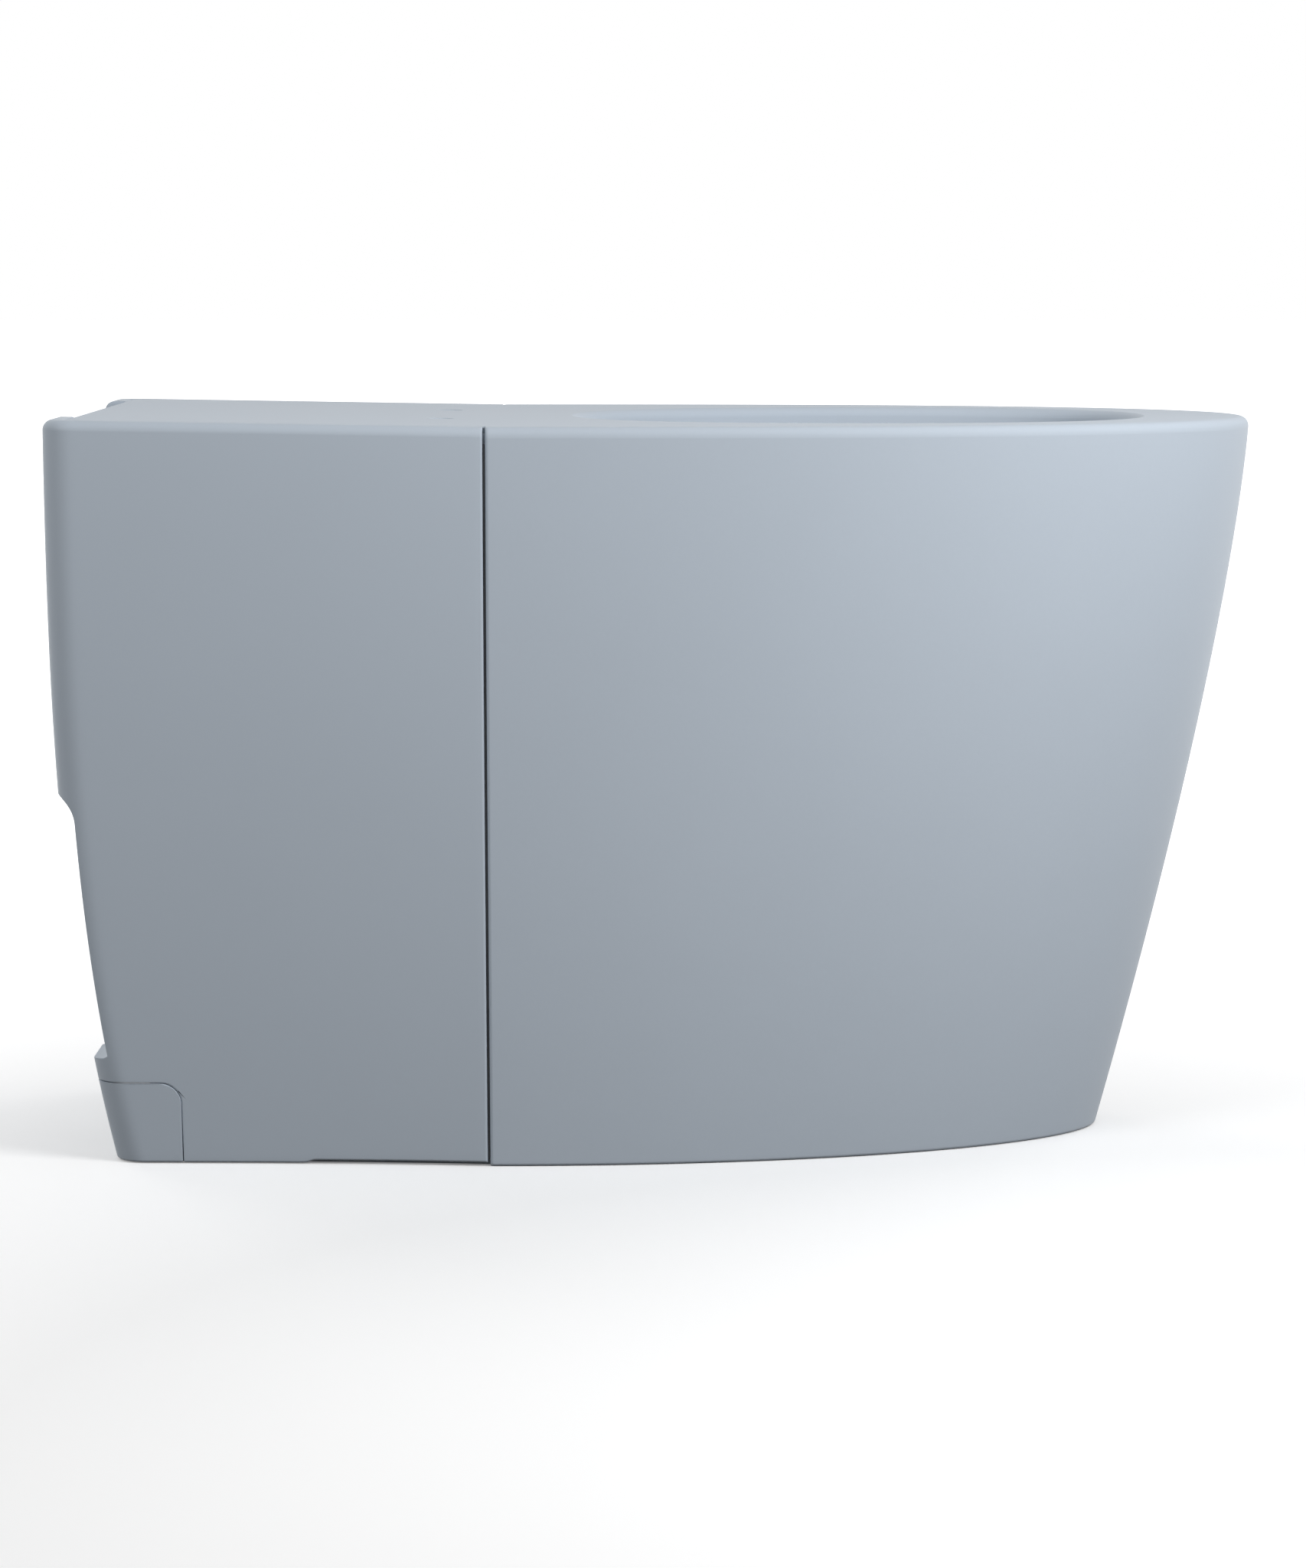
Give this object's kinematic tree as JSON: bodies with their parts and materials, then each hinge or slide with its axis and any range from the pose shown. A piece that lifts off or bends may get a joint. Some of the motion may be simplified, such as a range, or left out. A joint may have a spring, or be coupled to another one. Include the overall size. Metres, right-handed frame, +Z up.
{
  "type": "elongated toilet bowl",
  "caption": "Skirted floor-standing elongated toilet bowl with cast-in trapway, rear flush inlet, pull-off rear side covers and small corner access covers.",
  "frame": {"origin": "on the floor, under the middle of the bowl's length", "axes": "+X towards the front of the bowl, +Y to the right of someone who faces its front, +Z up"},
  "size_m": [0.6847, 0.3838, 0.4237],
  "materials": {
    "china": "glossy glaze over vitreous china",
    "cover_plastic": "gloss, colour-matched to the china",
    "foam": "closed-cell foam strip",
    "seal_rubber": "matt moulded rubber",
    "clip_plastic": "matt moulded nylon",
    "steel": "bright stainless fasteners",
    "white_plastic": "moulded white plastic"
  },
  "bodies": {
    "bowl": {"bowl_casting": "china", "outlet_socket": "white_plastic", "outlet_seal": "seal_rubber", "inlet_seal": "seal_rubber", "inlet_connector": "white_plastic", "seam_seal_left": "foam", "cover_clip_left_upper_front": "clip_plastic", "clip_screw_left_upper_front": "steel", "cover_clip_left_upper_rear": "clip_plastic", "clip_screw_left_upper_rear": "steel", "cover_clip_left_lower": "clip_plastic", "clip_screw_left_lower": "steel", "floor_bolt_left": "steel", "bolt_sleeve_left": "white_plastic", "floor_washer_left": "steel", "floor_nut_left": "steel", "socket_screw_front_left": "steel", "socket_screw_rear_left": "steel", "seam_seal_right": "foam", "cover_clip_right_upper_front": "clip_plastic", "clip_screw_right_upper_front": "steel", "cover_clip_right_upper_rear": "clip_plastic", "clip_screw_right_upper_rear": "steel", "cover_clip_right_lower": "clip_plastic", "clip_screw_right_lower": "steel", "floor_bolt_right": "steel", "bolt_sleeve_right": "white_plastic", "floor_washer_right": "steel", "floor_nut_right": "steel", "socket_screw_front_right": "steel", "socket_screw_rear_right": "steel"},
    "side_cover_left": {"side_cover_left": "cover_plastic"},
    "corner_cover_left": {"corner_cover_left": "cover_plastic"},
    "bolt_cap_left": {"bolt_cap_left": "white_plastic"},
    "side_cover_right": {"side_cover_right": "cover_plastic"},
    "corner_cover_right": {"corner_cover_right": "cover_plastic"},
    "bolt_cap_right": {"bolt_cap_right": "white_plastic"}
  },
  "joints": [
    {"name": "side_cover_left_pull", "type": "slide", "parent": "bowl", "child": "side_cover_left", "axis": [0, -1, 0], "range_m": [0, 0.12]},
    {"name": "corner_cover_left_pull", "type": "slide", "parent": "bowl", "child": "corner_cover_left", "axis": [0, -1, 0], "range_m": [0, 0.08]},
    {"name": "bolt_cap_left_lift", "type": "slide", "parent": "bowl", "child": "bolt_cap_left", "axis": [0, 0, 1], "range_m": [0, 0.025]},
    {"name": "side_cover_right_pull", "type": "slide", "parent": "bowl", "child": "side_cover_right", "axis": [0, 1, 0], "range_m": [0, 0.12]},
    {"name": "corner_cover_right_pull", "type": "slide", "parent": "bowl", "child": "corner_cover_right", "axis": [0, 1, 0], "range_m": [0, 0.08]},
    {"name": "bolt_cap_right_lift", "type": "slide", "parent": "bowl", "child": "bolt_cap_right", "axis": [0, 0, 1], "range_m": [0, 0.025]}
  ]
}
